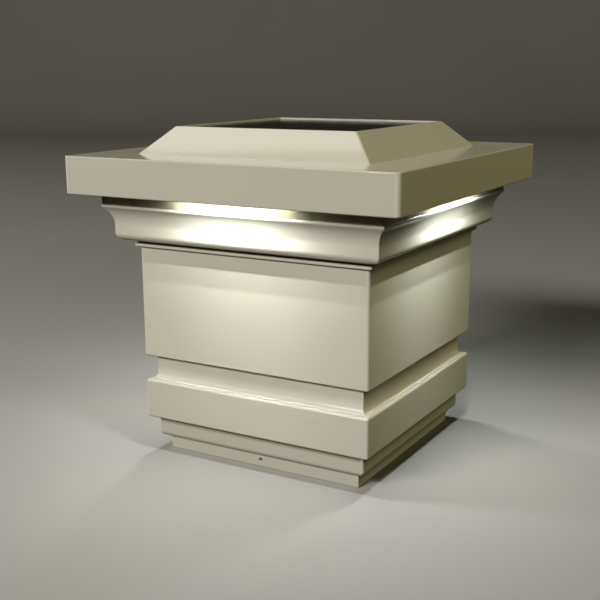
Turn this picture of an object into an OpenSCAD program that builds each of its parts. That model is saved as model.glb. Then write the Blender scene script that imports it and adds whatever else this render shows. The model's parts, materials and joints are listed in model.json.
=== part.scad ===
// Solar-lit capital for a square vinyl fence post.
// A hollow moulded column slides over the post, and a light unit sits in the column's crown.
// The origin is the centre of the column's bottom rim, +Z is up and the front face looks to -Y.

/* [Post] */
// Width of the square post that the column slides over
post_w = 127; // [126:0.5:127.5]
// Clearance between the post and the column on each side
post_gap = 1; // [0.8:0.1:1.2]
// How far the post reaches into the column before it meets the stop
post_depth = 118; // [112:1:119]

/* [Column widths, measured across the flats] */
// Lowest skirt, which touches the post
skirt_w = 136; // [136:0.5:138]
// Step above the skirt
step_w = 147.2; // [146:0.2:149]
// Base band
band_w = 158; // [157:0.5:160]
// Recessed neck between the band and the sleeve
neck_w = 146.8; // [146:0.2:149]
// Plain sleeve
body_w = 158.2; // [157:0.2:160]
// Thin plate between the sleeve and the crown
flange_w = 163.2; // [162:0.2:165]
// Crown below its cove
crown_w = 179.3; // [178.5:0.1:180]
// Lip of the crown
lip_w = 190; // [189:0.5:191]

/* [Column heights] */
// Lowest skirt
skirt_h = 9.3; // [9:0.1:10]
// Step above the skirt
step_h = 13.8; // [13:0.1:15]
// Base band
band_h = 25.2; // [24:0.1:27]
// Recessed neck
neck_h = 15.8; // [15:0.1:17]
// Plain sleeve
body_h = 70.2; // [70:0.1:74]
// Thin plate
flange_h = 2.1; // [2:0.1:3]
// Shadow gap between the thin plate and the crown's underside
crown_gap = 2.4; // [2:0.1:3]
// Crown from its underside to the lip's top
crown_h = 22.3; // [22:0.1:23.5]

/* [Light unit] */
// Width of the square slab
slab_w = 220; // [219:0.5:222]
// Height of the slab
slab_h = 22.9; // [22.5:0.1:24]
// Radius of the slab's upright corners
slab_r = 3.3; // [3:0.1:4]
// Lit gap between the crown's lip and the slab
light_gap = 7.1; // [7:0.1:8]
// Width of the pyramid frame at its base
pyramid_base_w = 156.6; // [156:0.2:158]
// Width of the pyramid frame at its rim
pyramid_top_w = 123.8; // [123:0.2:125]
// Height of the pyramid frame
pyramid_h = 16.1; // [15.8:0.1:17]

/* [Hidden] */

$fn = 48;
eps = 0.01;
wall = 3;
corner_r = 1.4;
step_round = 3.4;
neck_cove = 3;
neck_foot = 0.3;
TAN = [0.80, 0.76, 0.66];
STEEL = [0.72, 0.72, 0.74];
RUBBER = [0.12, 0.12, 0.12];
BOARD = [0.10, 0.34, 0.18];
FROST = [0.97, 0.95, 0.86];

// Heights at which one piece ends and the next begins
z_skirt = skirt_h;
z_step = z_skirt + step_h;
z_band = z_step + band_h;
z_neck = z_band + neck_h;
z_body = z_neck + body_h;
z_flange = z_body + flange_h;
z_crown = z_flange + crown_gap;
z_lip = z_crown + crown_h;
z_slab = z_lip + light_gap;
z_slab_top = z_slab + slab_h;
z_rim = z_slab_top + pyramid_h;

// Column: cavity for the post, corner guides and their screws
cavity = post_w / 2 + post_gap;
guide_t = 3;
guide_arm = 30;
flange_in = cavity + guide_t;
stop_t = 3;
stop_pad = 1;
stop_opening = 45;
crown_root = 80;
crown_round = 4.4;
crown_mouth = 76;
cove_r = 14.6;
lip_round = 1.6;
lip_flat = 0.8;
screw_hole_r = 1.25;
screw_hole_z = 4.6;
crown_screw_at = flange_in + 4.75;
boss_r = 4;
pilot_r = 1.5;
shank_r = 1.45;
pass_r = 1.7;
head_r = 2.9;
head_h = 2;

// Light unit: the plate that closes the slab from below, and the collar below it
plate_t = 2.5;
z_plate = z_slab + 2.2;
z_inside = z_plate + plate_t;
slab_wall = 2.5;
slab_in = slab_w / 2 - slab_wall;
slab_opening = 55;
gasket_t = 1;
seat_gap = 0.2;
gasket_out = 88;
collar_set_back = 0.2;
collar_r = 0.5;
plug_out = crown_mouth - 0.5;
collar_out = lip_w / 2 - collar_set_back;
plug_drop = 11;
slab_screw_at = 99;
frame_screw_at = 66;
frame_boss_h = 6.4;

// Solar panel, from the rim downwards
panel_half = 59.9;
window_t = 2;
cell_t = 0.6;
panel_t = 1.6;
z_window = z_rim - 1.2 - window_t;
z_cells = z_window - cell_t;
z_panel = z_cells - panel_t;
z_ledge = z_panel - gasket_t;
ledge_in = 55;
cell_columns = 2;
cell_rows = 6;
cell_gap = 1.2;

// Lights, one set in the middle of each side
lens_at = 102.25;
lens_len = 80;
lens_wide = 7.5;
lens_rim = 0.75;
z_lens = z_slab + 0.2;
led_board_len = 100;
led_board_w = 9;
led_board_t = 1.6;
z_led_board = z_inside + 5.1;
led_boss_at = 46;
led_pitch = 28;
led_w = 3.5;
led_h = 1.5;
small_screw_r = 0.95;
small_pilot_r = 1;
small_head_r = 1.9;
small_head_h = 1.3;

// Control board
control_at = [42, 0];
control_size = [50, 36];
control_t = 1.6;
z_control = z_inside + 4;
control_boss_at = [21, 14];

// Batteries, door and switch
cell_r = 7.1;
cell_len = 50.2;
box_at = [-30, 0];
box_in = [58, 30];
box_wall = 1.5;
z_box_roof = z_slab_top - wall;
z_cell = z_inside + cell_r - 0.3;
door_size = [66, 38];
door_t = 2;
door_gap = 0.2;
hinge_y = -21;
hinge_z = z_plate - 1.4;
hinge_r = 1.4;
pin_r = 0.75;
pin_hole_r = 0.8;
pin_len = 53;
knuckles = [[-26, 5.7], [-8, 16], [20.3, 5.7]];
barrels = [[-20, 11.7], [8.3, 11.7]];
switch_at = [30, -45];
switch_travel = 4;
switch_size = [15, 8, 5.5];
knob_stem = [3, 2.4];
lead_r = 0.7;
lead_pitch = 1.9;

// ---------- shared shapes ----------

// Square of a given half width with rounded corners
module rounded_square(half, r) {
    square([2 * half, 2 * (half - r)], center = true);
    square([2 * (half - r), 2 * half], center = true);
    for (x = [-1, 1], y = [-1, 1]) {
        translate([x * (half - r), y * (half - r)]) circle(r);
    }
}

// Upright square block between two heights
module block(half, r, z0, z1) {
    translate([0, 0, z0]) linear_extrude(z1 - z0) rounded_square(half, r);
}

// Square hole, which runs a little past the heights it cuts
module square_hole(half, z0, z1) {
    translate([-half, -half, z0]) cube([2 * half, 2 * half, z1 - z0]);
}

// Square frame: a block with a square hole right through it
module square_ring(out, r, inner, z0, z1) {
    difference() {
        block(out, r, z0, z1);
        square_hole(inner, z0 - 1, z1 + 1);
    }
}

// Moulding run round a square: the outline is half width against height
module mitred(outline) {
    right = outline;
    left = [for (i = [len(outline) - 1 : -1 : 0]) [-outline[i][0], outline[i][1]]];
    span = 2 * lip_w;
    intersection() {
        rotate([90, 0, 0]) linear_extrude(span, center = true) polygon(concat(right, left));
        rotate([90, 0, 90]) linear_extrude(span, center = true) polygon(concat(right, left));
    }
}

// Box given by its centre in plan and its height range
module slab_box(at, size, z0, z1) {
    translate([at[0] - size[0] / 2, at[1] - size[1] / 2, z0]) cube([size[0], size[1], z1 - z0]);
}

// Upright rod between two heights
module rod(at, r, z0, z1) {
    translate([at[0], at[1], z0]) cylinder(h = z1 - z0, r = r);
}

// The same shape at all four corners
module at_corners(x, y) {
    for (i = [-1, 1], j = [-1, 1]) {
        translate([i * x, j * y, 0]) children();
    }
}

// The shape made for the front, turned to another side
module on_side(turn) {
    rotate([0, 0, turn]) children();
}

// Pan-head screw that points down from its head, or up when flipped
module screw(z_seat, length, r, cap_r, cap_h, up = false) {
    flip = up ? 1 : 0;
    translate([0, 0, z_seat]) mirror([0, 0, flip]) {
        difference() {
            union() {
                cylinder(h = cap_h, r = cap_r);
                translate([0, 0, -length]) cylinder(h = length + eps, r = r);
            }
            for (turn = [0, 90]) {
                rotate([0, 0, turn]) translate([-cap_r * 0.6, -cap_r * 0.12, cap_h * 0.45])
                    cube([cap_r * 1.2, cap_r * 0.24, cap_h]);
            }
        }
    }
}

// Round lead swept along a route of straight runs
function unit(v) = v / norm(v);
function route_dir(p, i) =
    i == 0 ? unit(p[1] - p[0]) :
    i == len(p) - 1 ? unit(p[i] - p[i - 1]) :
    unit(unit(p[i] - p[i - 1]) + unit(p[i + 1] - p[i]));
function side_dir(d) = abs(d[2]) > 0.9 ? unit(cross(d, [0, 1, 0])) : unit(cross(d, [0, 0, 1]));
function align(d, s) = unit(s - d * (s * d));
function frames(p, i = 0, s = [0, 0, 0]) =
    i == len(p) ? [] :
    let (d = route_dir(p, i), t = i == 0 ? side_dir(d) : align(d, s))
    concat([[d, t]], frames(p, i + 1, t));

module lead(p, r = lead_r, sides = 8) {
    f = frames(p);
    n = len(p);
    points = [for (i = [0 : n - 1], k = [0 : sides - 1])
        let (a = 360 * k / sides, u = f[i][1], v = cross(f[i][0], f[i][1]))
        p[i] + r * (cos(a) * u + sin(a) * v)];
    skin = [for (i = [0 : n - 2], k = [0 : sides - 1])
        let (k2 = (k + 1) % sides)
        [i * sides + k, (i + 1) * sides + k, (i + 1) * sides + k2, i * sides + k2]];
    start = [for (k = [0 : sides - 1]) k];
    end = [for (k = [sides - 1 : -1 : 0]) (n - 1) * sides + k];
    polyhedron(points, concat(skin, [start], [end]));
}

// Two leads side by side, shifted along a direction in plan
module lead_pair(p, shift) {
    for (side = [-0.5, 0.5]) {
        move = [side * lead_pitch * shift[0], side * lead_pitch * shift[1], 0];
        lead([for (q = p) q + move]);
    }
}

// ---------- column ----------

// Half section of the step, with its rounded lower edge
function step_outline() =
    concat(
        [for (a = [0 : 15 : 90])
            [step_w / 2 - step_round * (1 - sin(a)), z_skirt + step_round * (1 - cos(a))]],
        [[step_w / 2, z_step]]);

// Skirt that touches the post, with the step moulded on top of it
module base_skirt() {
    color(TAN) difference() {
        union() {
            block(skirt_w / 2, corner_r, 0, z_skirt + eps);
            mitred(step_outline());
        }
        square_hole(cavity, -1, z_step + 1);
        square_hole(step_w / 2 - wall, z_skirt + wall, z_step + 1);
        for (side = [-1, 1]) {
            translate([0, side * skirt_w / 2, screw_hole_z]) rotate([90, 0, 0])
                cylinder(h = 4 * wall, r = screw_hole_r, center = true);
        }
    }
}

// Widest band of the base: a shell with a flange inside at each end
module base_band() {
    color(TAN) difference() {
        block(band_w / 2, corner_r, z_step, z_band);
        square_hole(flange_in, z_step - 1, z_band + 1);
        square_hole(band_w / 2 - wall, z_step + wall, z_band - wall);
    }
}

// Half section of the neck, with the cove at its foot
function neck_outline() =
    concat(
        [[neck_w / 2 + neck_cove, z_band]],
        [for (a = [0 : 15 : 90])
            [neck_w / 2 + neck_cove * (1 - sin(a)),
             z_band + neck_foot + neck_cove * (1 - cos(a))]],
        [[neck_w / 2, z_neck]]);

// Neck, open inside, that spreads in a small cove onto the band
module neck_ring() {
    color(TAN) difference() {
        mitred(neck_outline());
        square_hole(neck_w / 2 - wall, z_band - 1, z_neck + 1);
    }
}

// Plain sleeve with inner flanges, and bosses for the crown's screws
module body_sleeve() {
    boss_low = z_body - wall - 7;
    color(TAN) difference() {
        union() {
            difference() {
                block(body_w / 2, corner_r, z_neck, z_body);
                square_hole(flange_in, z_neck - 1, z_body + 1);
                square_hole(body_w / 2 - wall, z_neck + wall, z_body - wall);
            }
            at_corners(crown_screw_at, crown_screw_at)
                rod([0, 0], boss_r, boss_low, z_body - wall + eps);
        }
        at_corners(crown_screw_at, crown_screw_at)
            rod([0, 0], pilot_r, boss_low - 1, z_body + 1);
    }
}

module flange_plate() {
    color(TAN) difference() {
        square_ring(flange_w / 2, corner_r, flange_in, z_body, z_flange);
        at_corners(crown_screw_at, crown_screw_at) rod([0, 0], pass_r, z_body - 1, z_flange + 1);
    }
}

// Outline of the crown from its root to its lip: rounded foot, upright face, concave cove and
// rounded lip, one flowing into the next
function crown_outline() =
    let (
        face = crown_w / 2,
        lip = lip_w / 2,
        turn = cove_r + lip_round,
        sweep = acos(1 - (lip - face) / turn),
        lip_foot = z_lip - lip_flat,
        cove_foot = lip_foot - turn * sin(sweep),
        foot = [for (a = [0 : 15 : 90])
            [face - crown_round + crown_round * sin(a), z_crown + crown_round * (1 - cos(a))]],
        cove = [for (i = [0 : 9])
            let (a = sweep * i / 9)
            [face + cove_r * (1 - cos(a)), cove_foot + cove_r * sin(a)]],
        rounding = [for (i = [3 : -1 : 0])
            let (a = sweep * i / 4)
            [lip - lip_round * (1 - cos(a)), lip_foot - lip_round * sin(a)]]
    )
    concat([[crown_root, z_flange], [crown_root, z_crown]], foot, cove, rounding,
        [[lip, z_lip]]);

// Hollow crown with a ledge on top, on which the light unit's collar rests
module crown_moulding() {
    color(TAN) difference() {
        mitred(crown_outline());
        square_hole(flange_in, z_flange - 1, z_lip + 1);
        square_hole(crown_root - wall, z_flange + wall, z_lip - wall);
        square_hole(crown_w / 2 - 3.5, z_crown + wall, z_lip - wall);
        square_hole(crown_mouth, z_lip - wall - 1, z_lip + 1);
        at_corners(crown_screw_at, crown_screw_at)
            rod([0, 0], pass_r, z_flange - 1, z_flange + wall + 1);
    }
}

// Plate bonded inside the sleeve; the pad below it stands on the end of the post
module post_stop() {
    low = post_depth + stop_pad;
    color(TAN) {
        square_ring(body_w / 2 - wall, 2, stop_opening, low, post_depth + stop_t);
        square_ring(cavity - 0.5, corner_r, stop_opening, post_depth, low + eps);
    }
}

// Angle in each corner of the cavity, which centres the post and carries the stop
module corner_guides() {
    low = z_skirt + wall;
    inner = flange_in - guide_arm;
    color(TAN) for (turn = [0 : 90 : 270]) rotate([0, 0, turn]) difference() {
        translate([inner, inner, low])
            cube([guide_arm, guide_arm, post_depth + stop_pad - low]);
        translate([inner - 1, inner - 1, low - 1])
            cube([guide_arm - guide_t + 1, guide_arm - guide_t + 1, post_depth + stop_pad]);
    }
}

module crown_screws() {
    color(STEEL) at_corners(crown_screw_at, crown_screw_at)
        screw(z_flange + wall, 13, shank_r, head_r, head_h);
}

// ---------- light unit: shell ----------

// Square slab, open below, with a screw boss in each corner
module top_slab() {
    color(TAN) difference() {
        union() {
            difference() {
                block(slab_w / 2, slab_r, z_slab, z_slab_top);
                square_hole(slab_in, z_slab - 1, z_slab_top - wall);
                square_hole(slab_opening, z_slab, z_slab_top + 1);
            }
            at_corners(slab_screw_at, slab_screw_at)
                rod([0, 0], boss_r, z_inside, z_slab_top - wall + eps);
        }
        at_corners(slab_screw_at, slab_screw_at)
            rod([0, 0], pilot_r, z_inside - 1, z_inside + 11);
        at_corners(frame_screw_at, frame_screw_at)
            rod([0, 0], pass_r, z_slab_top - wall - 1, z_slab_top + 1);
    }
}

// Plate that closes the slab from below and carries the lights, the boards and the hinge
module underside_plate() {
    boss_top = z_led_board;
    slot_len = switch_travel + knob_stem[0] + 0.6;
    color(TAN) difference() {
        union() {
            block(slab_in - 0.3, 1, z_plate, z_inside);
            for (turn = [0 : 90 : 270], i = [-1, 1]) {
                on_side(turn) rod([i * led_boss_at, -lens_at], wall, z_inside - eps, boss_top);
            }
            for (i = [-1, 1], j = [-1, 1]) {
                rod(control_at + [i * control_boss_at[0], j * control_boss_at[1]],
                    wall, z_inside - eps, z_control);
            }
            for (k = knuckles) hinge_knuckle(k[0], k[1]);
        }
        for (turn = [0 : 90 : 270]) on_side(turn) {
            slab_box([0, -lens_at], [lens_len, lens_wide], z_plate - 1, z_inside + 1);
            for (i = [-1, 1]) {
                rod([i * led_boss_at, -lens_at], small_pilot_r, z_inside, boss_top + 1);
            }
        }
        for (i = [-1, 1], j = [-1, 1]) {
            rod(control_at + [i * control_boss_at[0], j * control_boss_at[1]],
                small_pilot_r, z_inside, z_control + 1);
        }
        at_corners(slab_screw_at, slab_screw_at) rod([0, 0], pass_r, z_plate - 1, z_inside + 1);
        slab_box(box_at, box_in, z_plate - 1, z_inside + 1);
        slab_box(switch_at, [slot_len, knob_stem[1] + 0.6], z_plate - 1, z_inside + 1);
        hinge_bore(pin_len + 1, pin_hole_r);
    }
}

// Fixed hinge knuckle that hangs from the underside plate
module hinge_knuckle(x, length) {
    translate([box_at[0] + x, hinge_y, hinge_z]) {
        rotate([0, 90, 0]) cylinder(h = length, r = hinge_r);
        translate([0, -hinge_r, 0]) cube([length, 2 * hinge_r, z_plate - hinge_z + eps]);
    }
}

module hinge_bore(length, r) {
    translate([box_at[0], hinge_y, hinge_z]) rotate([0, 90, 0])
        cylinder(h = length, r = r, center = true);
}

module door_hinge_pin() {
    color(STEEL) hinge_bore(pin_len, pin_r);
}

// Channel bonded under the plate, flush with the lip: its floor rests on the gasket, its outer
// wall hides the gasket, and its inner wall plugs into the crown
module seat_collar() {
    low = z_lip + gasket_t;
    inner = plug_out - wall;
    color(TAN) difference() {
        union() {
            block(collar_out, collar_r, low, z_plate);
            square_ring(collar_out, collar_r, collar_out - wall, z_lip + seat_gap, low + eps);
            block(plug_out, corner_r, z_lip - plug_drop, low + eps);
        }
        square_hole(inner, z_lip - plug_drop - 1, z_plate + 1);
        difference() {
            square_hole(collar_out - wall, low + wall, z_plate + 1);
            square_hole(plug_out, low, z_plate + 2);
        }
    }
}

module seat_gasket() {
    color(RUBBER) square_ring(gasket_out, corner_r, gasket_out - wall, z_lip, z_lip + gasket_t);
}

// Four-sided sloping frame that holds the solar panel
module pyramid_frame() {
    base = pyramid_base_w / 2;
    top = pyramid_top_w / 2;
    z_hollow = z_ledge - 2.5;
    slope = (base - top) / pyramid_h;
    hollow_base = base - wall;
    hollow_top = hollow_base - slope * (z_hollow - z_slab_top);
    color(TAN) difference() {
        union() {
            difference() {
                mitred([[base, z_slab_top], [top, z_rim]]);
                mitred([[hollow_base + slope, z_slab_top - 1], [hollow_top, z_hollow]]);
            }
            at_corners(frame_screw_at, frame_screw_at)
                rod([0, 0], boss_r, z_slab_top, z_slab_top + frame_boss_h);
        }
        square_hole(panel_half + 0.2, z_ledge, z_rim + 1);
        square_hole(ledge_in, z_slab_top - 1, z_rim + 1);
        at_corners(frame_screw_at, frame_screw_at)
            rod([0, 0], pilot_r, z_slab_top - 1, z_slab_top + 5);
    }
}

module frame_screws() {
    color(STEEL) at_corners(frame_screw_at, frame_screw_at)
        screw(z_slab_top - wall, 7, shank_r, head_r, head_h, up = true);
}

module underside_screws() {
    color(STEEL) at_corners(slab_screw_at, slab_screw_at)
        screw(z_plate, 12, shank_r, head_r, head_h, up = true);
}

// ---------- light unit: solar panel ----------

module panel_gasket() {
    color(RUBBER) square_ring(panel_half, 1, ledge_in, z_ledge, z_panel);
}

module panel_board() {
    color([0.92, 0.92, 0.90]) block(panel_half, 1, z_panel, z_cells);
}

// Dark cell strips laid in columns and rows
module solar_cells() {
    cell_x = (2 * panel_half - 2 - (cell_columns - 1) * cell_gap) / cell_columns;
    cell_y = (2 * panel_half - 2 - (cell_rows - 1) * cell_gap) / cell_rows;
    color([0.03, 0.04, 0.07]) for (i = [0 : cell_columns - 1], j = [0 : cell_rows - 1]) {
        x = (i - (cell_columns - 1) / 2) * (cell_x + cell_gap);
        y = (j - (cell_rows - 1) / 2) * (cell_y + cell_gap);
        slab_box([x, y], [cell_x, cell_y], z_cells, z_window);
    }
}

module panel_window() {
    color([0.10, 0.12, 0.14, 0.4]) block(panel_half, 1, z_window, z_window + window_t);
}

// ---------- light unit: lights ----------

// Frosted lens: it hangs through its window in the plate by a rim on top
module lens(turn) {
    rim = [lens_len + 2 * lens_rim, lens_wide + 2 * lens_rim];
    color(FROST) on_side(turn) {
        slab_box([0, -lens_at], [lens_len - 0.2, lens_wide - 0.2], z_lens, z_inside + eps);
        slab_box([0, -lens_at], rim, z_inside, z_inside + 1);
    }
}

module lens_front() { lens(0); }
module lens_right() { lens(90); }
module lens_back() { lens(180); }
module lens_left() { lens(270); }

module led_board(turn) {
    color(BOARD) on_side(turn) difference() {
        slab_box([0, -lens_at], [led_board_len, led_board_w],
            z_led_board, z_led_board + led_board_t);
        for (i = [-1, 1]) {
            rod([i * led_boss_at, -lens_at], small_pilot_r,
                z_led_board - 1, z_led_board + led_board_t + 1);
        }
    }
}

module led_board_front() { led_board(0); }
module led_board_right() { led_board(90); }
module led_board_back() { led_board(180); }
module led_board_left() { led_board(270); }

module led_chips() {
    color([1.0, 0.93, 0.62]) for (turn = [0 : 90 : 270], i = [-0.5, 0.5]) {
        on_side(turn)
            slab_box([i * led_pitch, -lens_at], [led_w, led_w], z_led_board - led_h, z_led_board);
    }
}

module led_board_screws() {
    color(STEEL) for (turn = [0 : 90 : 270], i = [-1, 1]) {
        on_side(turn) translate([i * led_boss_at, -lens_at, 0])
            screw(z_led_board + led_board_t, 6, small_screw_r, small_head_r, small_head_h);
    }
}

// ---------- light unit: electronics ----------

module control_board() {
    color(BOARD) difference() {
        slab_box(control_at, control_size, z_control, z_control + control_t);
        for (i = [-1, 1], j = [-1, 1]) {
            rod(control_at + [i * control_boss_at[0], j * control_boss_at[1]],
                small_pilot_r, z_control - 1, z_control + control_t + 1);
        }
    }
}

// Charge controller, coil, two capacitors and the lead connector
module control_chips() {
    z = z_control + control_t;
    color([0.08, 0.08, 0.09]) {
        slab_box(control_at + [4, 0], [9, 6], z, z + 1.7);
        rod(control_at + [14, -8], 4, z, z + 5);
        rod(control_at + [-12, -11], 3, z, z + 7);
        rod(control_at + [-4, -10], 3, z, z + 7);
        slab_box(control_at + [9, 13], [8, 5], z, z + 5);
    }
}

module control_board_screws() {
    color(STEEL) for (i = [-1, 1], j = [-1, 1]) {
        translate([control_at[0] + i * control_boss_at[0], control_at[1] + j * control_boss_at[1], 0])
            screw(z_control + control_t, 5, small_screw_r, small_head_r, small_head_h);
    }
}

// Open-bottomed box over the door opening
module battery_box() {
    outer = [box_in[0] + 2 * box_wall, box_in[1] + 2 * box_wall];
    color([0.14, 0.14, 0.15]) difference() {
        slab_box(box_at, outer, z_inside, z_box_roof);
        slab_box(box_at, box_in, z_inside - 1, z_box_roof - 1);
    }
}

// Rechargeable cell with its raised contact button, lying along X
module battery_cell(side) {
    length = cell_len - 1.4;
    color([0.16, 0.42, 0.24])
        translate([box_at[0] - side * length / 2, side * (cell_r + 0.2), z_cell])
        rotate([0, side * 90, 0]) {
            cylinder(h = length, r = cell_r);
            translate([0, 0, length - eps]) cylinder(h = 1.4 + eps, r = 2.7);
        }
}

module battery_cell_front() { battery_cell(-1); }
module battery_cell_back() { battery_cell(1); }

// Leaf contact at each end of each cell: a strip on the box wall with a raised dimple
module battery_contacts() {
    leaf_t = 0.4;
    leaf_w = 7;
    leaf_h = 9.4;
    end_x = box_in[0] / 2;
    reach = 2.8;
    blade = [[0, 0], [leaf_t, 0], [leaf_t, 2.6], [reach, 4.2], [reach, 5.2], [leaf_t, 6.8],
        [leaf_t, leaf_h], [0, leaf_h]];
    color([0.78, 0.76, 0.70]) for (x = [-1, 1], y = [-1, 1]) {
        translate([box_at[0] + x * end_x, y * (cell_r + 0.2), z_cell - 5])
            mirror([x > 0 ? 1 : 0, 0, 0])
            rotate([90, 0, 0]) linear_extrude(leaf_w, center = true) polygon(blade);
    }
}

// ---------- light unit: switch and door ----------

module switch_body() {
    low = z_inside;
    high = low + switch_size[2];
    color(RUBBER) difference() {
        slab_box(switch_at, switch_size, low, high);
        slab_box(switch_at, [switch_travel + knob_stem[0] + 0.6, knob_stem[1] + 0.6],
            low - 1, low + 2);
        slab_box(switch_at, [switch_travel + 6.6, knob_stem[1] + 2.2], low + 1.5, high - 1);
    }
}

// Knob at its off end; it slides towards +X to switch on
module switch_knob() {
    at = switch_at - [switch_travel / 2, 0];
    color([0.85, 0.85, 0.83]) {
        slab_box(at, knob_stem, z_plate - 2, z_inside + 2);
        slab_box(at, [6, knob_stem[1] + 1.6], z_inside + 1.8, z_inside + 3.6);
    }
}

// Door under the battery box, with barrels on the hinge pin and a finger tab
module battery_door() {
    high = z_plate - door_gap;
    low = high - door_t;
    color(TAN) difference() {
        union() {
            slab_box(box_at, door_size, low, high);
            slab_box(box_at + [0, door_size[1] / 2 + 1.5], [12, 3 + eps], low, low + 1.2);
            for (b = barrels) {
                translate([box_at[0] + b[0], hinge_y, hinge_z]) {
                    rotate([0, 90, 0]) cylinder(h = b[1], r = hinge_r);
                    translate([0, 0, low - hinge_z]) cube([b[1], 3, hinge_r - 0.4]);
                }
            }
        }
        hinge_bore(pin_len + 1, pin_hole_r);
    }
}

// Foam pad on the door that holds the cells up
module battery_pad() {
    color([0.20, 0.20, 0.21])
        slab_box(box_at, [46, 26], z_plate - door_gap, z_cell - cell_r - 0.1);
}

// ---------- light unit: leads ----------

// From the panel down to the control board
module panel_leads() {
    foot = z_control + control_t;
    color([0.70, 0.10, 0.08]) lead_pair([
        [26, 0, z_panel], [26, 0, z_panel - 6], [27, 0, z_panel - 12], [30, 0, foot + 6],
        [30, 0, foot]
    ], [0, 3]);
}

// From the battery box to the control board
module battery_leads() {
    foot = z_control + control_t;
    wall_x = box_at[0] + box_in[0] / 2 + box_wall;
    color([0.70, 0.10, 0.08]) lead_pair([
        [wall_x, 0, foot + 4], [wall_x + 8, 0, foot + 4.2], [wall_x + 16, 0, foot + 5],
        [wall_x + 19, 0, foot + 3], [wall_x + 19, 0, foot]
    ], [0, 6]);
}

// From the switch to the control board
module switch_leads() {
    foot = z_control + control_t;
    top = z_inside + switch_size[2];
    y = switch_at[1];
    color([0.12, 0.12, 0.12]) lead_pair([
        [switch_at[0], y, top], [switch_at[0], y, top + 2], [32, y + 6, top + 4],
        [48, y + 24, foot + 4], [50, y + 30, foot + 3], [50, y + 30, foot]
    ], [1, 0]);
}

// From each light board to the control board
module led_leads() {
    foot = z_control + control_t;
    top = z_led_board + led_board_t;
    high = top + 3;
    color([0.12, 0.12, 0.12]) {
        lead_pair([[20, -lens_at, top], [20, -lens_at, high], [24, -94, high + 0.5],
            [56, -30, high + 0.5], [57, -20, high], [57, -15, foot + 3], [57, -15, foot]], [1, 0]);
        lead_pair([[20, lens_at, top], [20, lens_at, high], [22, 94, high + 0.5],
            [38, 30, high + 0.5], [39, 22, high], [39, 14, foot + 3], [39, 14, foot]], [1, 0]);
        lead_pair([[lens_at, 8, top], [lens_at, 8, high], [94, 8, high + 0.5],
            [72, 6, high + 0.5], [61, 4, foot + 3], [61, 4, foot]], [0, 1]);
        lead_pair([[-lens_at, 30, top], [-lens_at, 30, high], [-94, 30, high + 0.5],
            [0, 26, high + 0.5], [22, 12, high], [29, 9, foot + 3], [29, 9, foot]], [0, 1]);
    }
}

base_skirt();
base_band();
neck_ring();
body_sleeve();
flange_plate();
crown_moulding();
post_stop();
corner_guides();
crown_screws();
top_slab();
underside_plate();
seat_collar();
seat_gasket();
pyramid_frame();
panel_gasket();
panel_board();
solar_cells();
panel_window();
frame_screws();
underside_screws();
lens_front();
lens_right();
lens_back();
lens_left();
led_board_front();
led_board_right();
led_board_back();
led_board_left();
led_chips();
led_board_screws();
control_board();
control_chips();
control_board_screws();
battery_box();
battery_cell_front();
battery_cell_back();
battery_contacts();
switch_body();
switch_knob();
battery_door();
battery_pad();
door_hinge_pin();
panel_leads();
battery_leads();
switch_leads();
led_leads();
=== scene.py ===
"""Looks of the solar-lit fence post cap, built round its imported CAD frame. Metres, +Z up."""
import json
import math

import bmesh
import bpy
from mathutils import Matrix, Vector


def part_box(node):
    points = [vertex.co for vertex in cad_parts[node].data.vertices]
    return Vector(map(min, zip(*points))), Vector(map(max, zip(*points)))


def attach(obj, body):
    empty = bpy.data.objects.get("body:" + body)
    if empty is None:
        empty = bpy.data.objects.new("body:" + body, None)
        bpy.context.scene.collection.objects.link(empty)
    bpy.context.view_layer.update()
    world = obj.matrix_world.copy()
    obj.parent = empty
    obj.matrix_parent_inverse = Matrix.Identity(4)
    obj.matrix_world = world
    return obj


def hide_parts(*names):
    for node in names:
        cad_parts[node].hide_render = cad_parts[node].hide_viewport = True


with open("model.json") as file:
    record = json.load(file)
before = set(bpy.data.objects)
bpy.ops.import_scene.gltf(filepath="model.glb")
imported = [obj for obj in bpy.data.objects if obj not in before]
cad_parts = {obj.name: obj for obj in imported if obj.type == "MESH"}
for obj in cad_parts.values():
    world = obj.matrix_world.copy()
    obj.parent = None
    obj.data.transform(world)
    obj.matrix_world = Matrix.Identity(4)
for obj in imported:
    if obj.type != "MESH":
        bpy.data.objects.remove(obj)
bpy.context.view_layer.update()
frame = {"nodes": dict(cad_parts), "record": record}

MM = 0.001
CORNER_STEPS = 8
FILLET_STEPS = 6
CURVE_STEPS = 16
WALL = 3 * MM
REVEAL = 0.6 * MM
SIDES = ("front", "right", "back", "left")

# ---------- sizes that come from the frame ----------


def half_width(node):
    """Half of a node's width across its flats."""
    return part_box(node)[1].x


def low(node):
    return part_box(node)[0].z


def high(node):
    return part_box(node)[1].z


def centre(node):
    lowest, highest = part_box(node)
    return (lowest + highest) / 2


SLAB_HALF = half_width("top_slab")
LIP_HALF = half_width("crown_moulding")
GUIDE_HALF = half_width("corner_guides")
CAVITY_HALF = GUIDE_HALF - WALL
CROWN_SCREW_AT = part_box("crown_screws")[1].x - 2.9 * MM
SLAB_SCREW_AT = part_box("underside_screws")[1].x - 2.9 * MM
FRAME_SCREW_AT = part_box("frame_screws")[1].x - 2.9 * MM
PILOT_R = 1.5 * MM
PASS_R = 1.7 * MM
BOSS_R = 4 * MM

# ---------- mesh helpers ----------


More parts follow.
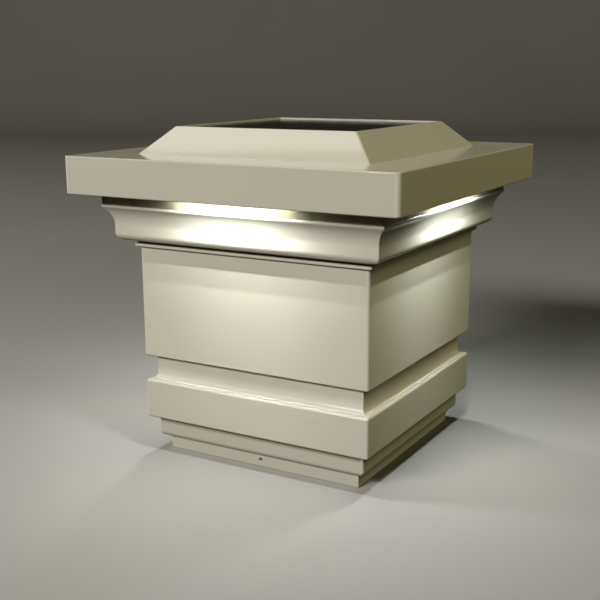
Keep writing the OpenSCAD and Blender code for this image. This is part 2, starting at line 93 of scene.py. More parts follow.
def round_corner(before, at, after, radius):
    """The points of an arc that rounds one corner of an outline."""
    at = Vector(at)
    a = (Vector(before) - at).normalized()
    b = (Vector(after) - at).normalized()
    angle = a.angle(b)
    middle = at + (a + b).normalized() * (radius / math.sin(angle / 2))
    start = at + a * (radius / math.tan(angle / 2)) - middle
    end = at + b * (radius / math.tan(angle / 2)) - middle
    sweep = math.pi - angle
    points = []
    for i in range(FILLET_STEPS + 1):
        t = i / FILLET_STEPS
        turned = start * math.sin((1 - t) * sweep) + end * math.sin(t * sweep)
        points.append(middle + turned / math.sin(sweep))
    return points


def rounded(outline):
    """A closed outline of (half width, height, corner radius) with its corners rounded."""
    points = []
    count = len(outline)
    for i, (w, z, radius) in enumerate(outline):
        if radius <= 0:
            points.append(Vector((w, z)))
            continue
        before = outline[i - 1][:2]
        after = outline[(i + 1) % count][:2]
        points.extend(round_corner(before, (w, z), after, radius))
    return points


def square_loop(half, corner, z):
    """Points round a square with round corners, anticlockwise from above."""
    points = []
    for quarter in range(4):
        middle_angle = math.pi / 4 + quarter * math.pi / 2
        reach = (half - corner) * math.sqrt(2)
        x = reach * math.cos(middle_angle)
        y = reach * math.sin(middle_angle)
        for i in range(CORNER_STEPS + 1):
            a = quarter * math.pi / 2 + i / CORNER_STEPS * math.pi / 2
            points.append(Vector((x + corner * math.cos(a), y + corner * math.sin(a), z)))
    return points


def swept_square(outline, corner, closed=True):
    """Mesh of an outline run round a square; corner gives the corner radius at each half width."""
    bm = bmesh.new()
    rings = [[bm.verts.new(p) for p in square_loop(w, corner(w), z)] for w, z in outline]
    following = rings[1:] + rings[:1] if closed else rings[1:]
    for ring, after in zip(rings, following):
        count = len(ring)
        for i in range(count):
            j = (i + 1) % count
            bm.faces.new((ring[i], ring[j], after[j], after[i]))
    if not closed:
        bm.faces.new(rings[0])
        bm.faces.new(rings[-1])
    bmesh.ops.recalc_face_normals(bm, faces=bm.faces)
    return bm


def eased(outer, radius):
    """Corner radius that keeps an edge's rounding concentric as the outline steps in."""
    return lambda w: max(radius - (outer - w), 0.3 * MM)


def constant(radius):
    return lambda w: radius


def rods(places, radius, z0, z1, axis="Z"):
    """Mesh of round rods at places, along Z from z0 to z1, or along Y centred on each place."""
    bm = bmesh.new()
    for place in places:
        turn = Matrix.Rotation(math.pi / 2, 4, "X") if axis == "Y" else Matrix.Identity(4)
        shift = Vector((0, 0, (z0 + z1) / 2)) if axis == "Z" else Vector((0, 0, 0))
        bmesh.ops.create_cone(bm, cap_ends=True, segments=32, radius1=radius, radius2=radius,
                              depth=z1 - z0, matrix=Matrix.Translation(Vector(place) + shift) @ turn)
    return bm


def as_object(name, bm):
    mesh = bpy.data.meshes.new(name)
    bm.to_mesh(mesh)
    bm.free()
    obj = bpy.data.objects.new(name, mesh)
    bpy.context.scene.collection.objects.link(obj)
    return obj


def carve(obj, other, operation):
    """Applies one exact boolean to obj and removes the other mesh."""
    tool = as_object(obj.name + "_tool", other)
    change = obj.modifiers.new("carve", "BOOLEAN")
    change.object = tool
    change.operation = operation
    change.solver = "EXACT"
    evaluated = obj.evaluated_get(bpy.context.evaluated_depsgraph_get())
    made = bpy.data.meshes.new_from_object(evaluated)
    obj.modifiers.clear()
    spare = obj.data
    obj.data = made
    bpy.data.meshes.remove(spare)
    bpy.data.objects.remove(tool)


def smooth(obj):
    for face in obj.data.polygons:
        face.use_smooth = True
    weighted = obj.modifiers.new("flat_faces", "WEIGHTED_NORMAL")
    weighted.weight = 100
    weighted.keep_sharp = True


def finish_piece(obj, body, slot, material, *nodes):
    """Smooths a new piece, paints it and puts it on its body in place of CAD nodes."""
    obj.data.materials.clear()
    obj.data.materials.append(material)
    smooth(obj)
    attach(obj, body)
    if nodes:
        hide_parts(*nodes)
    return obj


def four_corners(at):
    return [(x * at, y * at, 0) for x in (-1, 1) for y in (-1, 1)]


# ---------- material helpers ----------


def new_material(name):
    material = bpy.data.materials.new(name)
    material.use_nodes = True
    tree = material.node_tree
    return material, tree, tree.nodes["Principled BSDF"]


def add(tree, kind, inputs=None, **settings):
    """Adds a node; inputs are values or the sockets they come from."""
    node = tree.nodes.new(kind)
    for name, value in settings.items():
        setattr(node, name, value)
    for name, value in (inputs or {}).items():
        if isinstance(value, bpy.types.NodeSocket):
            tree.links.new(value, node.inputs[name])
        else:
            node.inputs[name].default_value = value
    return node


def maths(tree, operation, a, b=0.0, clamp=False):
    node = add(tree, "ShaderNodeMath", operation=operation, use_clamp=clamp)
    for socket, value in zip(node.inputs, (a, b)):
        if isinstance(value, bpy.types.NodeSocket):
            tree.links.new(value, socket)
        else:
            socket.default_value = value
    return node.outputs[0]


def place(tree, scale=(1, 1, 1)):
    """Object coordinates in metres, stretched by scale."""
    coords = add(tree, "ShaderNodeTexCoord")
    mapping = add(tree, "ShaderNodeMapping", {"Vector": coords.outputs["Object"]})
    mapping.inputs["Scale"].default_value = scale
    return mapping.outputs["Vector"]


def noise(tree, scale, detail=2.0, rough=0.5, stretch=(1, 1, 1)):
    made = add(tree, "ShaderNodeTexNoise", {
        "Vector": place(tree, stretch), "Scale": scale, "Detail": detail, "Roughness": rough})
    return made.outputs["Fac"]


def mapped(tree, value, low_in, high_in, low_out, high_out):
    made = add(tree, "ShaderNodeMapRange", {
        "Value": value, "From Min": low_in, "From Max": high_in,
        "To Min": low_out, "To Max": high_out})
    return made.outputs["Result"]


def blend(tree, factor, a, b):
    """Mixes two colours, each a socket or a tuple."""
    made = add(tree, "ShaderNodeMix", data_type="RGBA")
    for index, value in ((0, factor), (6, a), (7, b)):
        if isinstance(value, bpy.types.NodeSocket):
            tree.links.new(value, made.inputs[index])
        else:
            made.inputs[index].default_value = value
    return made.outputs[2]


def bump(tree, height, strength, distance, normal=None):
    inputs = {"Height": height, "Strength": strength, "Distance": distance}
    if normal is not None:
        inputs["Normal"] = normal
    return add(tree, "ShaderNodeBump", inputs).outputs["Normal"]


def rgba(r, g, b):
    return (r, g, b, 1.0)


def stripes(tree, coordinate, pitch, width):
    """1 on thin lines that repeat along a coordinate, and 0 between them."""
    phase = maths(tree, "FRACT", maths(tree, "DIVIDE", coordinate, pitch))
    return maths(tree, "LESS_THAN", phase, width / pitch)


def split(tree):
    coords = add(tree, "ShaderNodeTexCoord")
    parts = add(tree, "ShaderNodeSeparateXYZ", {"Vector": coords.outputs["Object"]})
    return parts.outputs["X"], parts.outputs["Y"], parts.outputs["Z"]


def height(tree):
    return split(tree)[2]


# ---------- materials ----------

TAN = (0.640, 0.600, 0.490)
TAN_DEEP = (0.610, 0.568, 0.455)
TAN_PALE = (0.660, 0.622, 0.515)
# Colour of dust and of painted shade, used in tight joints and for the painted shadow under the band.
DUST_AND_SHADE = (0.230, 0.200, 0.130)
# Colour of the painted light at the neck's foot and the painted highlights on upright corners.
PAINTED_LIGHT = (0.900, 0.870, 0.780)


def painted_corner_highlight(tree):
    """Above 0 only on the roundings of upright corners: the mask of a highlight painted on them."""
    coords = add(tree, "ShaderNodeTexCoord")
    parts = add(tree, "ShaderNodeSeparateXYZ", {"Vector": coords.outputs["Normal"]})
    across = maths(tree, "ABSOLUTE", parts.outputs["X"])
    along = maths(tree, "ABSOLUTE", parts.outputs["Y"])
    both = maths(tree, "MINIMUM", across, along)
    upright = mapped(tree, maths(tree, "ABSOLUTE", parts.outputs["Z"]), 0.1, 0.3, 1.0, 0.0)
    return maths(tree, "MULTIPLY", mapped(tree, both, 0.08, 0.40, 0.0, 0.7), upright)


def painted_shadow_under_band(tree):
    """Painted shadow on the skirt's step, darkest right under the band and gone 5 mm lower."""
    top = high("base_skirt")
    z = height(tree)
    rise = mapped(tree, z, top - 4.9 * MM, top - 2.6 * MM, 0.0, 0.9)
    return maths(tree, "MULTIPLY", rise, maths(tree, "LESS_THAN", z, top))


def painted_light_above_band(tree):
    """Painted light at the foot of the neck, where the light from above collects."""
    foot = low("neck_ring")
    z = height(tree)
    fall = mapped(tree, z, foot + 1.0 * MM, foot + 9.0 * MM, 0.9, 0.0)
    return maths(tree, "MULTIPLY", fall, maths(tree, "GREATER_THAN", z, foot))


def vinyl():
    """Satin to glossy tan vinyl: fine moulded grain, uneven gloss, dust and painted shade in the
    tightest joints, a painted shadow under the band and painted light on the neck's foot and upright
    corners.
    """
    material, tree, bsdf = new_material("tan_vinyl")
    cloudy = mapped(tree, noise(tree, 9, 3, 0.5), 0.3, 0.7, 0.0, 1.0)
    colour = blend(tree, cloudy, rgba(*TAN_DEEP), rgba(*TAN_PALE))
    colour = blend(tree, 0.5, colour, rgba(*TAN))
    speckle = mapped(tree, noise(tree, 1300, 2), 0.62, 0.80, 0.0, 0.12)
    colour = blend(tree, speckle, colour, rgba(*TAN_DEEP))
    # Dust and painted shade: darker where ambient occlusion is low, in the tightest joints.
    crease = add(tree, "ShaderNodeAmbientOcclusion", {"Distance": 1.6 * MM}, samples=8)
    shade = mapped(tree, crease.outputs["AO"], 0.30, 0.62, 0.35, 0.0)
    broken = mapped(tree, noise(tree, 60, 4), 0.35, 0.65, 0.6, 1.0)
    colour = blend(tree, maths(tree, "MULTIPLY", shade, broken), colour, rgba(*DUST_AND_SHADE))
    # Painted shadow of the band, cast on the step below it.
    colour = blend(tree, painted_shadow_under_band(tree), colour, rgba(*DUST_AND_SHADE))
    # Painted light at the foot of the neck, fading upwards.
    colour = blend(tree, painted_light_above_band(tree), colour, rgba(*PAINTED_LIGHT))
    # Painted highlight on the roundings of upright corners.
    colour = blend(tree, painted_corner_highlight(tree), colour, rgba(*PAINTED_LIGHT))
    tree.links.new(colour, bsdf.inputs["Base Color"])
    gloss = mapped(tree, noise(tree, 26, 4), 0.3, 0.7, 0.085, 0.14)
    tree.links.new(gloss, bsdf.inputs["Roughness"])
    wave = bump(tree, noise(tree, 14, 1), 0.03, 1.0 * MM)
    grain = bump(tree, noise(tree, 1400, 2), 0.06, 0.06 * MM, wave)
    tree.links.new(grain, bsdf.inputs["Normal"])
    bsdf.inputs["IOR"].default_value = 1.52
    return material


def plain_plastic(name, colour, roughness, grain_scale=1400, grain=0.12):
    """Moulded plastic with a fine grain and uneven gloss."""
    material, tree, bsdf = new_material(name)
    patch = mapped(tree, noise(tree, 90, 3), 0.3, 0.7, 0.0, 1.0)
    darker = rgba(*[c * 0.86 for c in colour])
    lighter = rgba(*[min(c * 1.10, 1.0) for c in colour])
    tree.links.new(blend(tree, patch, darker, lighter), bsdf.inputs["Base Color"])
    gloss = mapped(tree, noise(tree, 160, 3), 0.3, 0.7, roughness - 0.06, roughness + 0.08)
    tree.links.new(gloss, bsdf.inputs["Roughness"])
    tree.links.new(bump(tree, noise(tree, grain_scale, 2), grain, 0.1 * MM), bsdf.inputs["Normal"])
    return material


def metal(name, colour, roughness, scratch=0.2):
    """Plated metal with fine scratches."""
    material, tree, bsdf = new_material(name)
    scratches = noise(tree, 1, 3, 0.6, (2600, 300, 300))
    patch = mapped(tree, noise(tree, 500, 3), 0.3, 0.7, 0.0, 1.0)
    dull = rgba(*[c * 0.8 for c in colour])
    tree.links.new(blend(tree, patch, dull, rgba(*colour)), bsdf.inputs["Base Color"])
    bsdf.inputs["Metallic"].default_value = 1.0
    gloss = mapped(tree, scratches, 0.3, 0.7, roughness - 0.08, roughness + 0.12)
    tree.links.new(gloss, bsdf.inputs["Roughness"])
    tree.links.new(bump(tree, scratches, scratch, 0.05 * MM), bsdf.inputs["Normal"])
    return material


def frosted_lens():
    """Frosted lens that glows most below each light."""
    material, tree, bsdf = new_material("frosted_lens")
    x, y, _ = split(tree)
    along = maths(tree, "MINIMUM", maths(tree, "ABSOLUTE", x), maths(tree, "ABSOLUTE", y))
    away = maths(tree, "DIVIDE", maths(tree, "SUBTRACT", along, LED_ALONG), 9 * MM)
    glow = maths(tree, "EXPONENT", maths(tree, "MULTIPLY", maths(tree, "MULTIPLY", away, away), -1.0))
    bsdf.inputs["Base Color"].default_value = rgba(0.90, 0.88, 0.80)
    bsdf.inputs["Emission Color"].default_value = rgba(*LED_COLOUR)
    strength = mapped(tree, glow, 0.0, 1.0, 0.35, 6.0)
    tree.links.new(strength, bsdf.inputs["Emission Strength"])
    bsdf.inputs["Roughness"].default_value = 0.55
    tree.links.new(bump(tree, noise(tree, 1800, 2), 0.25, 0.1 * MM), bsdf.inputs["Normal"])
    return material


def solar_cell():
    """Near-black silicon with fine silver fingers and two bus bars along each strip."""
    material, tree, bsdf = new_material("solar_cell")
    x, y, _ = split(tree)
    fingers = stripes(tree, x, 2.2 * MM, 0.10 * MM)
    bars = stripes(tree, maths(tree, "ADD", y, 4.2 * MM), 9.9 * MM, 0.45 * MM)
    lines = maths(tree, "MAXIMUM", maths(tree, "MULTIPLY", fingers, 0.35), bars)
    crystal = mapped(tree, noise(tree, 240, 3), 0.3, 0.7, 0.0, 1.0)
    silicon = blend(tree, crystal, rgba(0.004, 0.005, 0.010), rgba(0.007, 0.009, 0.019))
    tree.links.new(blend(tree, maths(tree, "MULTIPLY", lines, 0.35), silicon,
                         rgba(0.16, 0.16, 0.17)), bsdf.inputs["Base Color"])
    bsdf.inputs["Roughness"].default_value = 0.35
    return material


def panel_glass():
    """Dark anti-glare cover sheet, faintly dusty."""
    material, tree, bsdf = new_material("panel_glass")
    dust = mapped(tree, noise(tree, 45, 5, 0.6), 0.45, 0.80, 0.0, 0.05)
    tree.links.new(blend(tree, dust, rgba(0.004, 0.004, 0.005), rgba(0.30, 0.28, 0.24)),
                   bsdf.inputs["Base Color"])
    gloss = mapped(tree, noise(tree, 70, 4), 0.3, 0.7, 0.07, 0.16)
    tree.links.new(gloss, bsdf.inputs["Roughness"])
    bsdf.inputs["IOR"].default_value = 1.12
    bsdf.inputs["Alpha"].default_value = 0.55
    tree.links.new(bump(tree, noise(tree, 1500, 1), 0.05, 0.05 * MM), bsdf.inputs["Normal"])
    return material


def circuit_board():
    """Green solder mask with copper tracks showing through as lighter lines."""
    material, tree, bsdf = new_material("circuit_board")
    x, y, _ = split(tree)
    wander = maths(tree, "MULTIPLY", noise(tree, 55, 1), 9 * MM)
    tracks = stripes(tree, maths(tree, "ADD", maths(tree, "ADD", x, y), wander), 2.3 * MM, 0.7 * MM)
    mask = blend(tree, tracks, rgba(0.010, 0.090, 0.030), rgba(0.022, 0.170, 0.055))
    pads = add(tree, "ShaderNodeTexVoronoi", {"Vector": place(tree), "Scale": 260.0},
               feature="F1")
    dots = maths(tree, "LESS_THAN", pads.outputs["Distance"], 0.17)
    tree.links.new(blend(tree, dots, mask, rgba(0.55, 0.56, 0.58)), bsdf.inputs["Base Color"])
    bsdf.inputs["Roughness"].default_value = 0.32
    tree.links.new(bump(tree, tracks, 0.3, 0.05 * MM), bsdf.inputs["Normal"])
    return material


def led_chip():
    """Yellow phosphor of a lit chip."""
    material, tree, bsdf = new_material("led_chip")
    grain = mapped(tree, noise(tree, 2500, 2), 0.3, 0.7, 0.0, 1.0)
    tree.links.new(blend(tree, grain, rgba(0.90, 0.62, 0.12), rgba(0.98, 0.78, 0.26)),
                   bsdf.inputs["Base Color"])
    bsdf.inputs["Emission Color"].default_value = rgba(*LED_COLOUR)
    bsdf.inputs["Emission Strength"].default_value = 2.0
    return material


def battery_sleeve():
    """Green shrink sleeve with a pale band, and bare metal at the two ends."""
    material, tree, bsdf = new_material("battery_sleeve")
    x, _, _ = split(tree)
    from_middle = maths(tree, "ABSOLUTE", maths(tree, "SUBTRACT", x, CELL_MIDDLE.x))
    band = maths(tree, "LESS_THAN", maths(tree, "ABSOLUTE",
                                          maths(tree, "SUBTRACT", from_middle, 17 * MM)), 3 * MM)
    ends = maths(tree, "GREATER_THAN", from_middle, 23.9 * MM)
    colour = blend(tree, band, rgba(0.030, 0.200, 0.075), rgba(0.62, 0.64, 0.60))
    tree.links.new(blend(tree, ends, colour, rgba(0.62, 0.62, 0.63)), bsdf.inputs["Base Color"])
    tree.links.new(ends, bsdf.inputs["Metallic"])
    bsdf.inputs["Roughness"].default_value = 0.28
    tree.links.new(bump(tree, noise(tree, 300, 3), 0.08, 0.2 * MM), bsdf.inputs["Normal"])
    return material


def studio_floor():
    """Pale matt floor, faintly mottled."""
    material, tree, bsdf = new_material("studio_floor")
    patch = mapped(tree, noise(tree, 1.5, 2), 0.3, 0.7, 0.0, 1.0)
    tree.links.new(blend(tree, patch, rgba(0.56, 0.54, 0.49), rgba(0.60, 0.58, 0.53)),
                   bsdf.inputs["Base Color"])
    bsdf.inputs["Roughness"].default_value = 0.9
    bsdf.inputs["Specular IOR Level"].default_value = 0.2
    return material


# ---------- column ----------


def make_column(tan):
    """The column's mouldings, from the skirt up to the crown."""
    make_skirt(tan)
    make_band(tan)
    make_neck(tan)
    make_sleeve(tan)
    make_flange_plate(tan)
    make_crown(tan)


def make_skirt(tan):
    """Lowest skirt and the step above it, with its rounded lower edge and the screw holes."""
    outer = half_width("base_skirt")
    skirt = 68 * MM
    z_shelf = 9.3 * MM
    top = high("base_skirt")
    outline = rounded([
        (CAVITY_HALF, 0, 0.3 * MM), (skirt, 0, 0.6 * MM), (skirt, z_shelf, 0.4 * MM),
        (outer, z_shelf, 3.4 * MM), (outer, top, 0.5 * MM), (outer - WALL, top, 0.3 * MM),
        (outer - WALL, z_shelf + WALL, 0.5 * MM), (CAVITY_HALF, z_shelf + WALL, 0.3 * MM)])
    obj = as_object("base_skirt_shell", swept_square(outline, eased(outer, 1.9 * MM)))
    for mount in frame["record"]["mounts"]:
        if mount["kind"] == "bore":
            hole = rods([mount["pos_m"]], mount["dims"]["r_mm"] * MM, 0, 6 * MM, axis="Y")
            carve(obj, hole, "DIFFERENCE")
    finish_piece(obj, "column", "tan_plastic", tan, "base_skirt")


def make_band(tan):
    """Wide hollow band with a flange inside at each end."""
    outer = half_width("base_band")
    z0, z1 = low("base_band"), high("base_band")
    outline = rounded([
        (GUIDE_HALF, z0, 0.3 * MM), (outer, z0, 1.2 * MM), (outer, z1, 1.7 * MM),
        (GUIDE_HALF, z1, 0.3 * MM), (GUIDE_HALF, z1 - WALL, 0.3 * MM),
        (outer - WALL, z1 - WALL, 0.5 * MM), (outer - WALL, z0 + WALL, 0.5 * MM),
        (GUIDE_HALF, z0 + WALL, 0.3 * MM)])
    obj = as_object("base_band_shell", swept_square(outline, eased(outer, 2.0 * MM)))
    finish_piece(obj, "column", "tan_plastic", tan, "base_band")


def make_neck(tan):
    """Neck that spreads in a small cove onto the band."""
    spread = 3 * MM
    foot = half_width("neck_ring")
    outer = foot - spread
    z0, z1 = low("neck_ring"), high("neck_ring")
    z_foot = z0 + 0.3 * MM
    outline = rounded([
        (outer - WALL, z0, 0.2 * MM), (foot, z0, 0), (foot, z_foot, 0), (outer, z_foot, 2.9 * MM),
        (outer, z1, 0.3 * MM), (outer - WALL, z1, 0.2 * MM)])
    obj = as_object("neck_ring_shell", swept_square(outline, constant(0.7 * MM)))
    finish_piece(obj, "column", "tan_plastic", tan, "neck_ring")


def make_sleeve(tan):
    """Plain sleeve with its inner flanges and the bosses for the crown's screws."""
    outer = half_width("body_sleeve")
    z0, z1 = low("body_sleeve"), high("body_sleeve")
    boss_low = z1 - WALL - 7 * MM
    outline = rounded([
        (GUIDE_HALF, z0, 0.3 * MM), (outer, z0, 0.8 * MM), (outer, z1 - REVEAL, 0.3 * MM),
        (outer - 1.2 * MM, z1 - REVEAL, 0.1 * MM), (outer - 1.2 * MM, z1, 0.1 * MM),
        (GUIDE_HALF, z1, 0.3 * MM), (GUIDE_HALF, z1 - WALL, 0.3 * MM),
        (outer - WALL, z1 - WALL, 0.5 * MM), (outer - WALL, z0 + WALL, 0.5 * MM),
        (GUIDE_HALF, z0 + WALL, 0.3 * MM)])
    obj = as_object("body_sleeve_shell", swept_square(outline, eased(outer, 1.9 * MM)))
    corners = four_corners(CROWN_SCREW_AT)
    carve(obj, rods(corners, BOSS_R, boss_low, z1 - WALL / 2), "UNION")
    carve(obj, rods(corners, PILOT_R, boss_low - MM, z1 + MM), "DIFFERENCE")
    finish_piece(obj, "column", "tan_plastic", tan, "body_sleeve")


def make_flange_plate(tan):
    """Thin plate between the sleeve and the crown."""
    outer = half_width("flange_plate")
    z0, z1 = low("flange_plate"), high("flange_plate")
    outline = rounded([
        (GUIDE_HALF, z0, 0.3 * MM), (outer, z0, 0.7 * MM), (outer, z1, 0.9 * MM),
        (GUIDE_HALF, z1, 0.3 * MM)])
    obj = as_object("flange_plate_shell", swept_square(outline, eased(outer, 1.4 * MM)))
    carve(obj, rods(four_corners(CROWN_SCREW_AT), PASS_R, z0 - MM, z1 + MM), "DIFFERENCE")
    finish_piece(obj, "column", "tan_plastic", tan, "flange_plate")


def crown_face(face, z_foot, z_lip_foot, foot_r, cove_r, lip_r):
    """The crown's visible side: a rounded foot, an upright face, a concave cove and a rounded lip."""
    turn = cove_r + lip_r
    sweep = math.acos(1 - (LIP_HALF - face) / turn)
    z_cove = z_lip_foot - turn * math.sin(sweep)
    points = []
    for i in range(CURVE_STEPS + 1):
        a = i / CURVE_STEPS * math.pi / 2
        points.append(Vector((face - foot_r * (1 - math.sin(a)), z_foot + foot_r * (1 - math.cos(a)))))
    for i in range(CURVE_STEPS + 1):
        a = i / CURVE_STEPS * sweep
        points.append(Vector((face + cove_r * (1 - math.cos(a)), z_cove + cove_r * math.sin(a))))
    for i in range(1, FILLET_STEPS + 1):
        a = (1 - i / FILLET_STEPS) * sweep
        points.append(Vector((LIP_HALF - lip_r * (1 - math.cos(a)), z_lip_foot - lip_r * math.sin(a))))
    return points


def make_crown(tan):
    """Hollow crown with its cove, its lip and the ledge that carries the light unit."""
    z0, z1 = low("crown_moulding"), high("crown_moulding")
    face = 89.65 * MM
    root = 80 * MM
    mouth = 76 * MM
    z_foot = z0 + 2.4 * MM
    visible = crown_face(face, z_foot, z1 - 0.8 * MM, 4.4 * MM, 14.6 * MM, 1.6 * MM)
    edge, eased_edge = 0.4 * MM, 0.12 * MM
    rim = [Vector((LIP_HALF, z1 - edge)), Vector((LIP_HALF - eased_edge, z1 - eased_edge)),
           Vector((LIP_HALF - edge, z1))]
    hollow = face - 3.5 * MM
    inside = [(mouth, z1), (mouth, z1 - WALL), (hollow, z1 - WALL),
              (hollow, z_foot + WALL), (root - WALL, z_foot + WALL),
              (root - WALL, z0 + WALL), (GUIDE_HALF, z0 + WALL), (GUIDE_HALF, z0)]
    outline = [Vector((root, z0)), Vector((root, z_foot))] + visible + rim
    outline += [Vector(p) for p in inside]
    obj = as_object("crown_moulding_shell", swept_square(outline, constant(0.4 * MM)))
    carve(obj, rods(four_corners(CROWN_SCREW_AT), PASS_R, z0 - MM, z0 + WALL + MM), "DIFFERENCE")
    finish_piece(obj, "column", "tan_plastic", tan, "crown_moulding")


# ---------- light unit ----------


def make_slab(tan):
    """Square slab with eased edges, open below, with a screw boss in each corner."""
    z0, z1 = low("top_slab"), high("top_slab")
    inner = SLAB_HALF - 2.5 * MM
    opening = 55 * MM
    z_boss = high("underside_plate") - 5.1 * MM
    outline = rounded([
        (opening, z1 - WALL, 0.3 * MM), (inner, z1 - WALL, 0.8 * MM), (inner, z0, 0.4 * MM),
        (SLAB_HALF, z0, 0.8 * MM), (SLAB_HALF, z1, 0.9 * MM), (opening, z1, 0.3 * MM)])
    obj = as_object("top_slab_shell", swept_square(outline, eased(SLAB_HALF, 3.3 * MM)))
    corners = four_corners(SLAB_SCREW_AT)
    carve(obj, rods(corners, BOSS_R, z_boss, z1 - WALL / 2), "UNION")
    carve(obj, rods(corners, PILOT_R, z_boss - MM, z_boss + 11 * MM), "DIFFERENCE")
    carve(obj, rods(four_corners(FRAME_SCREW_AT), PASS_R, z1 - WALL - MM, z1 + MM), "DIFFERENCE")
    finish_piece(obj, "light_unit", "tan_plastic", tan, "top_slab")


def make_pyramid(tan):
    """Sloping frame round the solar panel, hollow below, with four screw bosses."""
    z0, z1 = low("pyramid_frame"), high("pyramid_frame")
    base = half_width("pyramid_frame")
    rim = 61.9 * MM
    pocket = half_width("panel_window") + 0.2 * MM
    z_ledge = low("panel_gasket")
    ledge_in = 55 * MM
    slope = (base - rim) / (z1 - z0)
    z_hollow = z_ledge - 2.5 * MM
    hollow_base = base - WALL
    outline = rounded([
        (ledge_in, z_ledge, 0.3 * MM), (pocket, z_ledge, 0), (pocket, z1, 0.35 * MM),
        (rim, z1, 0.5 * MM), (base, z0, 0), (hollow_base, z0, 0),
        (hollow_base - slope * (z_hollow - z0), z_hollow, 0.6 * MM), (ledge_in, z_hollow, 0.3 * MM)])
    obj = as_object("pyramid_frame_shell", swept_square(outline, constant(1.0 * MM)))
    corners = four_corners(FRAME_SCREW_AT)
    carve(obj, rods(corners, BOSS_R, z0, z0 + 6.4 * MM), "UNION")
    carve(obj, rods(corners, PILOT_R, z0 - MM, z0 + 5 * MM), "DIFFERENCE")
    finish_piece(obj, "light_unit", "tan_plastic", tan, "pyramid_frame")


def make_window(glass):
    """Cover sheet of the panel, with polished edges."""
    z0, z1 = low("panel_window"), high("panel_window")
    half = half_width("panel_window")
    edge = 0.3 * MM
    outline = [(half - edge, z0), (half, z0 + edge), (half, z1 - edge), (half - edge, z1)]
    obj = as_object("panel_window_sheet", swept_square(outline, eased(half, 1.2 * MM), closed=False))
    finish_piece(obj, "light_unit", "panel_glass", glass, "panel_window")


# ---------- CAD nodes that keep their shape ----------


def ease_edges(node, width):
    """Welds a CAD node's split edges and breaks them with a small bevel."""
    obj = frame["nodes"][node]
    weld = obj.modifiers.new("weld", "WELD")
    weld.merge_threshold = 0.001 * MM
    bevel = obj.modifiers.new("broken_edges", "BEVEL")
    bevel.width = width
    bevel.segments = 2
    bevel.limit_method = "ANGLE"
    bevel.angle_limit = math.radians(35)
    bevel.use_clamp_overlap = True
    bevel.harden_normals = True


def paint(material, *nodes):
    """Gives CAD nodes one material and flat faces."""
    for node in nodes:
        obj = frame["nodes"][node]
        obj.data.materials.clear()
        obj.data.materials.append(material)
        for face in obj.data.polygons:
            face.use_smooth = False


def paint_cad_nodes(tan):
    """Gives every CAD node that keeps its shape its own material."""
    steel = metal("screw_steel", (0.60, 0.60, 0.62), 0.32)
    contact = metal("contact_metal", (0.74, 0.70, 0.62), 0.22)
    rubber = plain_plastic("rubber_seal", (0.035, 0.035, 0.036), 0.75, 900, 0.3)
    foam = plain_plastic("foam_pad", (0.045, 0.045, 0.048), 0.90, 500, 0.8)
    backing = plain_plastic("panel_backing", (0.70, 0.70, 0.67), 0.55)
    dark = plain_plastic("dark_plastic", (0.030, 0.030, 0.032), 0.45)
    chip = plain_plastic("black_chip", (0.018, 0.018, 0.020), 0.50)
    bronze = plain_plastic("collar_plastic", (0.29, 0.26, 0.16), 0.30)
    knob = plain_plastic("knob_plastic", (0.66, 0.66, 0.64), 0.42)
    red = plain_plastic("red_lead", (0.42, 0.025, 0.020), 0.38)
    black = plain_plastic("black_lead", (0.022, 0.022, 0.024), 0.38)
    lens = frosted_lens()
    board = circuit_board()
    paint(tan, "post_stop", "corner_guides", "underside_plate", "battery_door")
    paint(bronze, "seat_collar")
    paint(steel, "crown_screws", "frame_screws", "underside_screws", "led_board_screws",
          "control_board_screws", "door_hinge_pin")
    paint(contact, "battery_contacts")
    paint(rubber, "seat_gasket", "panel_gasket")
    paint(foam, "battery_pad")
    paint(backing, "panel_board")
    paint(dark, "battery_box", "switch_body")
    paint(chip, "control_chips")
    paint(knob, "switch_knob")
    paint(red, "panel_leads", "battery_leads")
    paint(black, "switch_leads", "led_leads")
    paint(lens, *[f"lens_{side}" for side in SIDES])
    paint(board, "control_board", *[f"led_board_{side}" for side in SIDES])
    paint(led_chip(), "led_chips")
    paint(solar_cell(), "solar_cells")
    paint(battery_sleeve(), "battery_cell_front", "battery_cell_back")
    for node in ("underside_plate", "seat_collar", "battery_door", "post_stop", "corner_guides",
                 "switch_knob"):
        ease_edges(node, 0.3 * MM)
    for node in ("crown_screws", "underside_screws", "frame_screws"):
        ease_edges(node, 0.15 * MM)


# ---------- lights of the object ----------

LED_ALONG = 14 * MM
LED_COLOUR = (0.90, 0.97, 1.0)
WIDE = math.pi
NARROW = math.radians(50)
# How far out from the lens's middle, length, power and spread of each strip.
LED_STRIPS = (
    (3.2 * MM, 78 * MM, 0.024, WIDE), (3.2 * MM, 52 * MM, 0.030, WIDE),
    (-3.3 * MM, 78 * MM, 0.021, WIDE), (-3.3 * MM, 52 * MM, 0.027, WIDE),
    (3.2 * MM, 72 * MM, 0.011, NARROW))
LED_WIDTH = 0.9 * MM
CELL_MIDDLE = centre("battery_cell_front")


def area_light(name, size, power, colour):
    """Rectangular light that shines along its own -Z."""
    light = bpy.data.lights.new(name, "AREA")
    light.shape = "RECTANGLE"
    light.size, light.size_y = size
    light.energy = power
    light.color = colour
    obj = bpy.data.objects.new(name, light)
    bpy.context.scene.collection.objects.link(obj)
    return obj


def keep_off(light, floor):
    """Leaves the floor out of what a light shines on."""
    unlit = bpy.data.collections.new(light.name + "_unlit")
    unlit.objects.link(floor)
    unlit.collection_objects[0].light_linking.link_state = "EXCLUDE"
    light.light_linking.receiver_collection = unlit


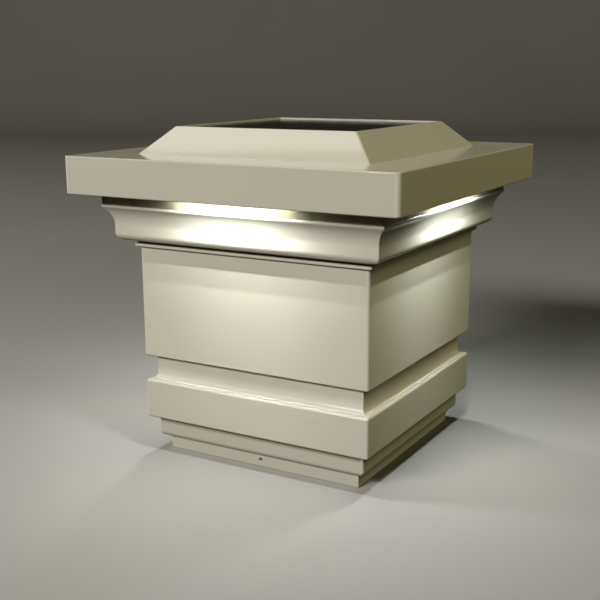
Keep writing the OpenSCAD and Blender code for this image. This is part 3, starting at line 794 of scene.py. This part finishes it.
def make_led_lights(floor):
    """Thin strips of light below each lens, near its edges; one of them shines straight down."""
    for side in SIDES:
        middle = centre(f"lens_{side}")
        z = low(f"lens_{side}") - 0.1 * MM
        outward = Vector((middle.x, middle.y, 0)).normalized()
        for shift, length, power, spread in LED_STRIPS:
            obj = area_light(f"led_{side}", (length, LED_WIDTH), power, LED_COLOUR)
            obj.data.spread = spread
            obj.location = Vector((middle.x, middle.y, z)) + outward * shift
            obj.rotation_euler = (0, 0, math.atan2(outward.x, -outward.y))
            if spread == NARROW:
                keep_off(obj, floor)
            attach(obj, "light_unit")


# ---------- studio ----------

CAMERA_AT = (314.2 * MM, -562.1 * MM, 240.9 * MM)
CAMERA_YAW = math.radians(-30.0)
CAMERA_PITCH = math.radians(-12.97)
CAMERA_ROLL = math.radians(-0.28)
CAMERA_LENS = 60.2


def make_camera():
    """Camera at the photograph's viewing angle."""
    data = bpy.data.cameras.new("camera")
    data.lens = CAMERA_LENS
    data.sensor_width = 36
    data.clip_start = 0.01
    camera = bpy.data.objects.new("camera", data)
    bpy.context.scene.collection.objects.link(camera)
    upright = Matrix.Rotation(-CAMERA_YAW, 4, "Z") @ Matrix.Rotation(math.pi / 2 + CAMERA_PITCH, 4, "X")
    camera.matrix_world = (Matrix.Translation(CAMERA_AT) @ upright
                           @ Matrix.Rotation(CAMERA_ROLL, 4, "Z"))
    bpy.context.scene.camera = camera


def make_floor():
    """Plain floor that sweeps up into a distant backdrop."""
    bm = bmesh.new()
    start, bend, rise, wide = -6.0, 3.2, 4.0, 9.0
    radius, steps = 1.8, 24
    profile = [(start, 0.0), (bend, 0.0)]
    for i in range(1, steps + 1):
        a = i / steps * math.pi / 2
        profile.append((bend + radius * math.sin(a), radius * (1 - math.cos(a))))
    profile.append((bend + radius, rise))
    rows = [[bm.verts.new((x, y, z)) for x in (-wide, wide)] for y, z in profile]
    for row, after in zip(rows, rows[1:]):
        bm.faces.new((row[0], row[1], after[1], after[0]))
    floor = as_object("studio_floor", bm)
    for face in floor.data.polygons:
        face.use_smooth = True
    floor.rotation_euler = (0, 0, -CAMERA_YAW)
    floor.data.materials.append(studio_floor())
    floor.visible_diffuse = False
    floor.visible_glossy = False
    return floor


def make_softbox(name, at, target, size, power, colour, floor=None):
    """Rectangular light aimed at target; a floor that is given gets none of its light."""
    obj = area_light(name, size, power, colour)
    obj.location = at
    obj.rotation_euler = (Vector(target) - Vector(at)).to_track_quat("-Z", "Y").to_euler()
    if floor is not None:
        keep_off(obj, floor)


def make_studio(floor):
    """Soft key from the front, softboxes above and at the side, and a warm fill from the right."""
    middle = (0, 0, 0.12)
    make_softbox("key_softbox", (-0.60, -3.00, 1.65), middle, (1.8, 0.5), 86, (1.0, 0.985, 0.97))
    make_softbox("top_softbox", (-0.78, -0.12, 1.40), (0, 0, 0.19), (0.5, 0.5), 2.1,
                 (0.97, 0.99, 1.0), floor)
    make_softbox("fill_softbox", (0.95, 0.35, 1.10), middle, (0.8, 0.7), 5.5, (1.0, 0.93, 0.54), floor)
    make_softbox("side_softbox", (-1.60, 0.25, 0.60), middle, (0.9, 0.9), 3.5, (1.0, 0.95, 0.80), floor)
    world = bpy.data.worlds.new("studio")
    world.use_nodes = True
    background = world.node_tree.nodes["Background"]
    background.inputs["Color"].default_value = (1.0, 0.94, 0.60, 1.0)
    background.inputs["Strength"].default_value = 0.03
    bpy.context.scene.world = world
    bpy.context.scene.view_settings.view_transform = "Standard"


def main():
    make_camera()
    tan = vinyl()
    make_column(tan)
    make_slab(tan)
    make_pyramid(tan)
    make_window(panel_glass())
    paint_cad_nodes(tan)
    floor = make_floor()
    make_led_lights(floor)
    make_studio(floor)


main()
